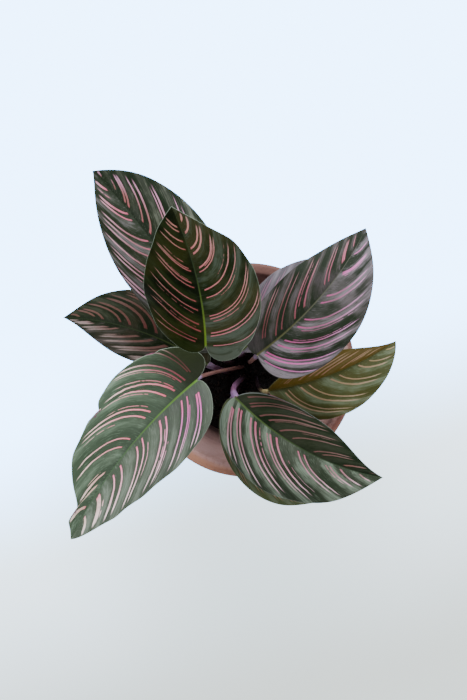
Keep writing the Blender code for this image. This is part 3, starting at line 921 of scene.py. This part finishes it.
def bundle_spread(x, y, number):
    """Distance between bundles: how far apart the veins lie for each step of their number."""
    down_x, out_x = np.gradient(x)
    down_y, out_y = np.gradient(y)
    gap = np.abs(down_x * out_y - down_y * out_x) / np.maximum(np.hypot(out_x, out_y), 1e-9)
    return np.minimum(gap / np.maximum(np.gradient(number, axis=0), 1e-6), WIDEST_SPREAD)


def half_sheet(leaf, side):
    """One half of the blade on a grid, with what its material needs to know at each point.

    Rows follow the margin from base to tip and columns go out along the veins. Each half leaves
    the midrib at its rise angle and arches down evenly. The wave grows with the square of the
    distance from the midrib, and soft pleats follow the stripes.
    """
    sign = 1.0 - 2.0 * side
    step = np.linspace(0.0, 1.0, BLADE_ROWS)
    share = np.linspace(0.0, 1.0, BLADE_COLUMNS)
    along, across = np.meshgrid(step + ROW_CROWDING * step * (1 - step), share ** COLUMN_CROWDING,
                                indexing="ij")
    x, y = flat_half(leaf, side, along, across)
    number = stripe_number(leaf, side, along)
    line_x, line_y = outline(leaf, side, np.linspace(0.0, 1.0, MARGIN_POINTS))
    to_edge = np.min(np.hypot(x[..., None] - line_x, y[..., None] - line_y), axis=-1)
    spread = bundle_spread(x, y, number)
    centre, forward, left, normal = midrib_frame(leaf, x)
    mean_width = sum(leaf.half_widths) / 2
    rise = math.radians(leaf.rise[side])
    arch = math.radians(leaf.arch[side]) / mean_width
    reach = (math.sin(rise) - np.sin(rise - arch * y)) / arch
    height = (np.cos(rise - arch * y) - math.cos(rise)) / arch
    turn = 2 * math.pi * WAVES * x / leaf.length + math.radians(leaf.phase[side])
    height = height + leaf.wave * (y / mean_width) ** 2 * np.sin(turn)
    height = height + RUFFLE * (y / mean_width) ** 3 * np.sin(RUFFLES * turn + RUFFLE_START)
    fold = portion(across, PLEAT_FADE[0]) * portion(1 - across, PLEAT_FADE[1])
    fold = fold * portion(PLEAT_END - along, 1.0)
    height = height - PLEAT * fold * np.cos(math.tau * number)
    points = centre + left * (sign * reach)[..., None] + normal * height[..., None]
    upward = sign * np.cross(np.gradient(points, axis=0), np.gradient(points, axis=1))
    size = np.linalg.norm(upward, axis=-1, keepdims=True)
    upward = np.where(size > 1e-12, upward / np.maximum(size, 1e-12), normal)
    for edge in (np.s_[0], np.s_[-1], np.s_[:, 0]):
        upward[edge] = normal[edge]
    thin = portion(to_edge, MARGIN_RUN)
    thick = MARGIN_THICKNESS + (SHEET_THICKNESS - MARGIN_THICKNESS) * thin * (2 - thin)
    rib = np.exp(-(y / RIB_SPREAD) ** 2) * (1 - portion(x, leaf.length)) ** RIB_TAPER
    over = points + upward * (thick / 2 - RIB_GROOVE * rib)[..., None]
    under = points - upward * (thick / 2 + RIB_DEPTH * rib)[..., None]
    bundle = np.clip(np.rint(number).astype(int), 0, len(leaf.bundles[side]) - 1)
    told = dict(zip(STORED_NUMBERS, (number, across, spread * 1000, 0 * x + side,
                                     x / leaf.length, y * 1000, to_edge * 1000)))
    told.update(zip(LINE_KINDS, stripe_lines(leaf, side)[:, bundle]))
    return over, under, told, (x, sign * y)


def half_map(leaf, x, y):
    """Places on the map of one half: the upper sheet, the lower sheet, and a strip beyond.

    The map is a square with the flat upper faces of both halves beside the lower ones. The
    strip of the margin lies just beyond the upper face.
    """
    low = -max(leaf.lobe) * 2 * leaf.length
    beside = sum(leaf.half_widths) + MAP_GAP
    size = max(leaf.length - low, 2 * beside) + 2 * MAP_MARGIN
    upper = np.stack([x - low + MAP_MARGIN, y + leaf.half_widths[1] + MAP_MARGIN], axis=-1) / size
    outward = upper[:, -1] - upper[:, -2]
    outward = outward / np.maximum(np.linalg.norm(outward, axis=1, keepdims=True), 1e-9)
    beyond = upper[:, -1] + outward * STRIP_REACH / size
    return upper, upper + [0.0, beside / size], beyond


def blade_mesh(leaf):
    """The blade. Each half is one grid that runs out above, over the margin and back below.

    The halves meet at the midrib, where their doubled points are merged. They mirror each
    other, so the faces of one are wound the other way round, and all point outwards.
    """
    faces = grid_faces(BLADE_ROWS, 2 * BLADE_COLUMNS)
    below = faces[:, 0] % (2 * BLADE_COLUMNS) >= BLADE_COLUMNS
    points, wound, told, maps = [], [], {}, []
    for side, winding in enumerate(([0, 3, 2, 1], [0, 1, 2, 3])):
        over, under, values, (x, y) = half_sheet(leaf, side)
        points.append(np.concatenate([over, under[:, ::-1]], axis=1).reshape(-1, 3))
        wound.append(faces[:, winding] + side * len(points[0]))
        for name, numbers in values.items():
            both = np.concatenate([numbers, numbers[:, ::-1]], axis=1)
            both = both.reshape(BLADE_ROWS * BLADE_COLUMNS * 2, -1)
            told.setdefault(name, []).append(both[faces[:, winding].ravel()])
        upper, lower, beyond = half_map(leaf, x, y)
        placed = np.concatenate([upper, lower[:, ::-1]], axis=1).reshape(-1, 2)[faces]
        strip = placed[BLADE_COLUMNS - 1::2 * BLADE_COLUMNS - 1]
        strip[:, 1] = beyond[:-1]
        strip[:, 2] = beyond[1:]
        maps.append(placed[:, winding].reshape(-1, 2))
    mesh = bpy.data.meshes.new("leaf_blade_" + leaf.name)
    mesh.from_pydata(np.vstack(points), [], np.vstack(wound))
    mesh.polygons.foreach_set("material_index", np.tile(below, 2).astype(np.int32))
    add_corner_values(mesh, {name: np.concatenate(parts) for name, parts in told.items()})
    layer = mesh.uv_layers.new(name="OFBake")
    layer.data.foreach_set("uv", np.vstack(maps).astype(np.float32).ravel())
    tidy_mesh(mesh, turn_faces=False)
    mesh.set_sharp_from_angle(angle=math.radians(BLADE_EDGE))
    return mesh


@dataclass
class Tints:
    """Screen colours of one blade's upper face, its line widths and its painted sheen.

    Pairs are for the left and the right half, and the rib's colours for its base and its tip.
    One colour instead of a pair is for both halves.
    Lines have a colour at the blade's base, its middle and its tip, another where they start
    and a paler one where they end; these are partly the lines' own colours and partly painted
    light, lilac where a half carries painted sheen and darker at the base of a shaded half.
    Strokes are their half widths in millimetres near the midrib and far from it, and the last
    number widens them towards the tip. The brown or grey washes are partly the leaf's own and
    partly painted light shining through and off the blade. The shares of the washes, of painted
    sheen and of painted sheen near the base are given for the two halves. Lie is where between
    two bundles of lines the pale bands and the painted sheen are brightest. Shaded is how dark
    the halves are at the base, where the leaf above keeps the light off. The last pair is how
    much painted sheen the halves lose at the tip.
    """

    deep: tuple
    pale: tuple
    wash_and_light: tuple
    painted_sheen: tuple
    start: tuple
    base: tuple
    middle: tuple
    tip: tuple
    end: tuple
    rib: tuple
    margin: str
    strokes: tuple
    wash_and_light_share: tuple = (0.3, 0.3)
    sheen_share: tuple = (0.3, 0.3)
    lobe_sheen: tuple = (0.0, 0.0)
    lie: tuple = (0.45, 0.45)
    shaded: tuple = (0.0, 0.0)
    tip_sheen_loss: tuple = (0.0, 0.0)


# Each blade's colours include its painted sheen and washes that are partly painted light.
TINTS = {
    "rear_left": Tints(
        deep=("#161e10", "#151e12"), pale=("#33362d", "#2e3129"),
        wash_and_light=("#2a2c20", "#262b1a"), painted_sheen=("#6d666b", "#727668"),
        start=("#984a5c", "#984a50"), base=("#926078", "#9c6490"), middle=("#84545c", "#8c5a5c"),
        tip=("#b0586f", "#824f4d"), end=("#a88490", "#b482a0"), rib=("#2c371d", "#1e2819"),
        margin="#474e46", strokes=(0.52, 0.38, 0.4), sheen_share=(0.52, 0.62), lie=(0.45, 0.40),
        tip_sheen_loss=(0.2, 0.7)),
    "rear_tall": Tints(
        deep=("#070e01", "#141e08"), pale=("#172106", "#2f3823"),
        wash_and_light=("#24270a", "#35351e"), painted_sheen=("#353e2f", "#525c54"),
        start=("#86403f", "#ae6068"), base=("#753f40", "#b27078"), middle=("#925755", "#bc7676"),
        tip=("#a06c62", "#c08078"), end=("#8a6860", "#a8807c"), rib=("#5f7826", "#2c3a24"),
        margin="#7b8779", strokes=(0.40, 0.28, 0.3), wash_and_light_share=(0.40, 0.55), sheen_share=(0.10, 0.55),
        lobe_sheen=(0.0, 0.6), lie=(0.40, -0.36)),
    "left": Tints(
        deep=("#121b0c", "#141d0e"), pale=("#2b2d20", "#282d1e"),
        wash_and_light=("#2f2a20", "#302a1e"), painted_sheen=("#574e4f", "#46483f"),
        start=("#5c3c38", "#59302e"), base=("#5a423d", "#4d2e30"), middle=("#604540", "#5f403a"),
        tip=("#826868", "#62443c"), end=("#8a7c78", "#604844"), rib=("#343e20", "#26301d"),
        margin="#595e55", strokes=(0.72, 0.56, 0.1), sheen_share=(0.60, 0.35), lie=(-0.40, 0.45)),
    "front_left": Tints(
        deep=("#3f493c", "#374435"), pale=("#545c50", "#4d5a4a"),
        wash_and_light=("#4c504a", "#404e3e"), painted_sheen=("#7f8c7e", "#788f78"),
        start=("#ee6496", "#ea647e"), base=("#ee70c8", "#a8606c"), middle=("#f2a6bc", "#ee929e"),
        tip=("#d6bcae", "#d2aa9a"), end=("#eedcda", "#e6d4c8"), rib=("#5d8337", "#40563c"),
        margin="#8c9788", strokes=(0.37, 0.28, 0.9), sheen_share=(0.42, 0.40), lobe_sheen=(-0.3, -0.5),
        lie=(0.45, 0.30), shaded=(0.0, 0.9)),
    "rear_right": Tints(
        deep="#1b2217", pale=("#34342c", "#403f3a"),
        wash_and_light=("#403a3b", "#524c4d"), painted_sheen=("#5c5358", "#6a6268"),
        start=("#703c40", "#94406c"), base=("#603839", "#b0508c"), middle=("#8a4c5c", "#804862"),
        tip=("#a85c70", "#bc5f9c"), end=("#806064", "#b080a4"), rib=("#4a4a2e", "#45463c"),
        margin="#343730", strokes=(0.37, 0.28, 0.1), wash_and_light_share=(0.25, 0.30), sheen_share=(0.60, 0.84),
        lobe_sheen=(0.0, 0.60), lie=(0.50, -0.22), tip_sheen_loss=(0.0, -0.4)),
    "rear_under": Tints(
        deep="#4b464b", pale="#645c63", wash_and_light="#565056", painted_sheen="#726d73", start="#714c5e",
        base="#714c5e", middle="#714c5e", tip="#7c5b6d", end="#7c5b6d",
        rib=("#3d4529", "#43463e"), margin="#676367", strokes=(0.34, 0.26, 0.0)),
    "right": Tints(
        deep=("#433816", "#36391d"), pale=("#4c4325", "#434b31"),
        wash_and_light=("#4d3f15", "#403b1c"), painted_sheen=("#625944", "#656d5b"),
        start=("#6c5038", "#806450"), base=("#68503a", "#7c6450"), middle=("#7e604c", "#80684f"),
        tip=("#9a7f60", "#84744c"), end=("#8a745c", "#8c7c68"), rib=("#574f24", "#4b4824"),
        margin="#575739", strokes=(0.38, 0.34, 0.0), wash_and_light_share=(0.95, 0.45), sheen_share=(0.30, 0.60),
        lie=(0.45, -0.40)),
    "front_right": Tints(
        deep=("#0e190b", "#262e22"), pale=("#1f2618", "#4a5045"),
        wash_and_light=("#26291e", "#3d4238"), painted_sheen=("#363831", "#6f7d6d"),
        start=("#5a3838", "#a04c66"), base=("#4c3632", "#9a6c76"), middle=("#5d4340", "#ac7082"),
        tip=("#6d4842", "#8c6268"), end=("#66534f", "#d2b0ba"), rib=("#3e4e2a", "#273422"),
        margin="#656a67", strokes=(0.42, 0.33, 0.1), sheen_share=(0.20, 0.70), lobe_sheen=(0.0, 0.3),
        lie=(0.45, -0.32)),
    "front_under": Tints(
        deep="#3a432a", pale="#4b533e", wash_and_light="#42482c", painted_sheen="#5a6051", start="#6f5c4b",
        base="#6f5c4b", middle="#6f5c4b", tip="#6f5c4b", end="#6f5c4b",
        rib=("#46512e", "#3d4432"), margin="#545945", strokes=(0.40, 0.32, 0.0)),
}


def tinted(half, colours):
    """The colour of one half of the blade, from a pair or from one colour for both."""
    return colours if isinstance(colours, str) else between(half, *colours)


def fibre_noise(at, pace):
    """Noise from 0 to 1, drawn out along the veins: a pace across them and one along them."""
    place = new_node(at.half.tree, "ShaderNodeCombineXYZ",
                     {0: at.stripe * pace[0], 1: at.across * pace[1], 2: at.half * 7.0})
    return mottle(place, 1.0, 4.0, 0.62)


def painted_line(at, kind, strokes, waver):
    """Share of pink of one kind of line, with its offset, start and end stored on the mesh.

    The line starts blunt near the midrib, thins on its way out and fades before the margin. By
    chance some lines are broader than others.
    """
    tree = at.half.tree
    offset, start, end = parted(stored(tree, LINE_KINDS[kind], "Vector"))
    away = reckon("ABSOLUTE", at.local - offset) * at.spread
    near, far = (stroke * LINE_WIDTHS[kind] for stroke in strokes[:2])
    width = spaced(eased(at.across, 0.05, 0.45), near, far) * waver
    width = width * spaced(eased(at.along_rib, 0.55, 1.0), 1.0, 1.0 + strokes[2])
    bundle = new_node(tree, "ShaderNodeCombineXYZ",
                      {0: at.bundle, 1: at.half + (2.0 * kind + at.seed)})
    chance = new_node(tree, "ShaderNodeTexWhiteNoise", {"Vector": bundle}, "Value",
                      noise_dimensions="2D")
    width = width * spaced(chance, 0.75, 1.30)
    width = width * spaced(eased(at.across, end, end - 0.22), 0.55, 1.0)
    core = eased(away, width + 0.10, width - 0.10)
    blunt = eased(at.from_rib, start - 0.25, start + 0.25)
    return core * (blunt * eased(at.across, end, end - 0.10))


def banded_green(at, tints, position):
    """Green in dark and pale bands with brown or grey washes, both partly painted light, and
    painted sheen in bands and threads.
    """
    half = at.half
    threads = fibre_noise(at, THREADS)
    ridge = reckon("COSINE", (at.straying - spaced(half, *tints.lie)) * math.tau)
    uneven = spaced(mottle(position, 55.0, 4.0), -0.9, 0.9)
    uneven = uneven + spaced(fibre_noise(at, FIBRES), -1.2, 1.2)
    # The pale bands are partly the leaf's own colour and partly painted sheen.
    light = eased(ridge + uneven, -0.6, 1.3) * eased(at.from_rib, 0.0, 4.0)
    green = between(light, tinted(half, tints.deep), tinted(half, tints.pale))
    # The brown or grey washes are partly the leaf's own and partly painted light through and off
    # the blade.
    wash_and_light_share = mottle(position, 38.0) + spaced(half, *(0.5 * share for share in tints.wash_and_light_share))
    green = between(eased(wash_and_light_share, 0.62, 0.85) * 0.85, green, tinted(half, tints.wash_and_light))
    # Painted sheen: a reflection painted in bands, stronger towards the margin, set per half near
    # the base, dimmed at the tip.
    sheen_mask = ridge * 0.45 + uneven + spaced(at.across, -0.1, 0.35)
    sheen_mask = sheen_mask + eased(at.along_rib, 0.38, 0.05) * spaced(half, *tints.lobe_sheen) * 1.2
    sheen_mask = sheen_mask - eased(at.along_rib, 0.45, 0.85) * spaced(half, *tints.tip_sheen_loss)
    sheen_mask = eased(sheen_mask, 0.05, 1.25) * spaced(half, *tints.sheen_share)
    green = between(sheen_mask, green, tinted(half, tints.painted_sheen))
    # Dark threads are fibres; lighter threads are streaks of painted sheen.
    green = between(eased(threads, 0.48, 0.36) * 0.45, green, tinted(half, tints.deep))
    green = between(eased(threads, 0.54, 0.70) * 0.30, green, tinted(half, tints.painted_sheen))
    return green, threads


def pink_lines(at, tints, position, grain):
    """How pink each point is, and the colour of the line there.

    The colour changes from the blade's base to its tip and from the start of a line to its end.
    """
    waver = spaced(grain, 0.70, 1.30)
    broken = eased(mottle(position, 230.0, 2.0), 0.36, 0.48)
    pink = 0.0
    for kind, strength in enumerate(LINE_STRENGTHS):
        drawn = painted_line(at, kind, tints.strokes, waver) * strength
        if kind > 1:
            drawn = drawn * broken
        pink = reckon("MAXIMUM", pink, drawn)
    # Line colours are partly the lines' own and partly painted light: lilac under painted sheen,
    # darker at the base of a shaded half.
    line = tinted(at.half, tints.base)
    for share, colours in ((eased(at.stripe, 0.5, 2.5), tints.middle),
                           (eased(at.stripe, 3.5, 5.5), tints.tip),
                           (eased(at.across, 0.34, 0.12) * 0.75, tints.start),
                           (eased(at.across, 0.40, 0.95) * 0.80, tints.end),
                           (eased(grain, 0.45, 0.7) * 0.25, tints.pale)):
        line = between(share, line, tinted(at.half, colours))
    return pink, line


def leaf_face(leaf, tints):
    """The upper face: banded green with painted sheen, pink lines in bundles, pale midrib, and a
    pale margin that is partly a painted highlight.
    """
    made, tree, shader = new_finish("leaf_face_" + leaf.name)
    position = object_place(tree)
    at = SimpleNamespace(**{name: stored(tree, name) for name in STORED_NUMBERS})
    at.seed = 10.0 * leaf.seed
    at.bundle = reckon("ROUND", at.stripe)
    at.straying = at.stripe + spaced(mottle(position, 110.0, 2.0), -0.035, 0.035)
    at.local = at.straying - at.bundle
    grain = mottle(position, 420.0)
    green, threads = banded_green(at, tints, position)
    pink, line = pink_lines(at, tints, position, grain)
    face = between(pink, green, line)
    dark = eased(at.along_rib, 0.22, 0.0) * spaced(at.half, *tints.shaded)
    face = between(dark, face, LEAF_SHADE)
    rib_width = spaced(at.along_rib, 0.58, 0.06)
    rib = eased(at.from_rib, rib_width + 0.22, rib_width - 0.22)
    face = between(rib * 0.9, face, between(eased(at.along_rib, 0.02, 0.62), *tints.rib))
    # The pale margin line is partly the thin edge's own colour and partly a painted highlight.
    face = between(eased(at.from_edge, 0.36, 0.08) * 0.8, face, tints.margin)
    give(shader, {"Base Color": face, "Roughness": spaced(threads, 0.34, 0.50),
                  "Specular IOR Level": 0.04})
    raise_surface(shader, threads + grain, 0.00008)
    return made


def leaf_back():
    """The underside: deep purple, darker between the veins, with a green rib."""
    made, tree, shader = new_finish("leaf_back")
    clouds = mottle(object_place(tree), 70.0, 4.0)
    veins = reckon("SINE", stored(tree, "stripe") * (math.tau * 5))
    skin = between(eased(spaced(veins, 0.0, 0.25) + clouds, 0.35, 0.75), BACK_DEEP, BACK_PALE)
    skin = between(eased(stored(tree, "from_rib"), 1.2, 0.5), skin, BACK_RIB)
    give(shader, {"Base Color": skin, "Roughness": 0.55})
    raise_surface(shader, spaced(veins, 0.0, 0.5) + clouds, 0.00012)
    return made


underside = leaf_back()
for leaf in LEAVES:
    put_in_place("leaf_blade_" + leaf.name, blade_mesh(leaf),
                 [leaf_face(leaf, TINTS[leaf.name]), underside], ["blade_" + leaf.name])


# The floor and the light. A white tabletop, so brightly lit that it casts hardly any shadow back,
# under daylight from a wide window beyond the top of the picture. It isn't part of the plant.
FLOOR_REACH = 3.0
FLOOR_PAINT = "#8f9496"
FLOOR_NEAR = (0.83, 0.93, 0.88, 1.0)
FLOOR_MIDDLE = (1.95, 2.45, 2.85, 1.0)
FLOOR_FAR = (3.0, 6.0, 10.5, 1.0)
FLOOR_SHADE = (0.48, 0.58, 0.45, 1.0)
SHADE_PLACE = (0.0, -0.075, 0.0)
SHADE_REACH = (0.16, 0.04)
SKY_TOP = (0.16, 0.17, 0.18, 1.0)
SKY_SIDE = (0.85, 0.92, 1.0, 1.0)
SKY_LOW = (0.62, 0.64, 0.66, 1.0)
LAMP_AIM = (0.0, 0.0, 0.1)
LAMPS = [
    ("window", (0.2, 1.7, 1.15), (2.4, 1.4), 120.0, (0.93, 0.97, 1.0)),
    ("left_wall", (-1.6, -0.2, 1.2), (1.6, 1.2), 35.0, (1.0, 1.0, 1.0)),
    ("right_wall", (1.5, -0.7, 1.1), (1.4, 1.2), 35.0, (1.0, 0.97, 0.98)),
]


def tabletop():
    """White paint that glows with the daylight on it, bluer and brighter towards the window.

    The pot shades it softly on the side away from the window.
    """
    made, tree, shader = new_finish("tabletop")
    place = object_place(tree)
    east, north, _ = parted(place)
    ahead = north - east * 0.30 + mottle(place, 3.0, 2.0) * 0.03
    glow = between(eased(ahead, -0.08, 0.03), FLOOR_MIDDLE, FLOOR_FAR)
    glow = between(eased(ahead, -0.22, -0.05), FLOOR_NEAR, glow)
    distance = new_node(tree, "ShaderNodeVectorMath", {0: place, 1: SHADE_PLACE}, "Value",
                        operation="DISTANCE")
    glow = between(eased(distance, *SHADE_REACH) * 0.36, glow, FLOOR_SHADE)
    give(shader, {"Base Color": FLOOR_PAINT, "Roughness": 0.9, "Specular IOR Level": 0.1,
                  "Emission Color": glow, "Emission Strength": 1.0})
    return made


def room_light():
    """Light of the room: dim overhead, bright at the sides, and the table's light from below."""
    world = bpy.data.worlds.new("room")
    world.use_nodes = True
    tree = world.node_tree
    height = parted(new_node(tree, "ShaderNodeTexCoord", {}, "Generated"))[2]
    above = between(eased(height, 0.10, 0.75), SKY_SIDE, SKY_TOP)
    whole = between(eased(height, -0.05, 0.05), SKY_LOW, above)
    give(tree.nodes["Background"], {"Color": whole})
    bpy.context.scene.world = world


def soft_light(name, place, size, power, colour):
    """A rectangular lamp at a place, turned to face the plant."""
    data = bpy.data.lights.new(name, "AREA")
    data.shape = "RECTANGLE"
    data.size, data.size_y = size
    data.energy = power
    data.color = colour
    lamp = new_object(name, data)
    lamp.location = place
    away = np.array(place) - np.array(LAMP_AIM)
    lamp.rotation_euler = (math.atan2(math.hypot(away[0], away[1]), away[2]), 0.0,
                           math.atan2(away[1], away[0]) + math.pi / 2)


mesh = bpy.data.meshes.new("tabletop")
corners = [(x * FLOOR_REACH, y * FLOOR_REACH, 0.0) for x, y in ((-1, -1), (1, -1), (1, 1), (-1, 1))]
mesh.from_pydata(corners, [], [(0, 1, 2, 3)])
mesh.materials.append(tabletop())
floor = new_object("tabletop", mesh)
floor.visible_diffuse = False
floor.visible_glossy = False

for lamp in LAMPS:
    soft_light(*lamp)
room_light()


# The camera. It looks straight down on the plant from arm's length above the leaves.
CAMERA_PLACE = (-0.00806, 0.0111, 0.693)
CAMERA_LENS = 54.0
CAMERA_SENSOR = 36.0
CAMERA_NEAR = 0.01

view = bpy.data.cameras.new("overhead")
view.lens = CAMERA_LENS
view.sensor_width = CAMERA_SENSOR
view.clip_start = CAMERA_NEAR
camera = new_object("overhead", view)
camera.location = CAMERA_PLACE
bpy.context.scene.camera = camera
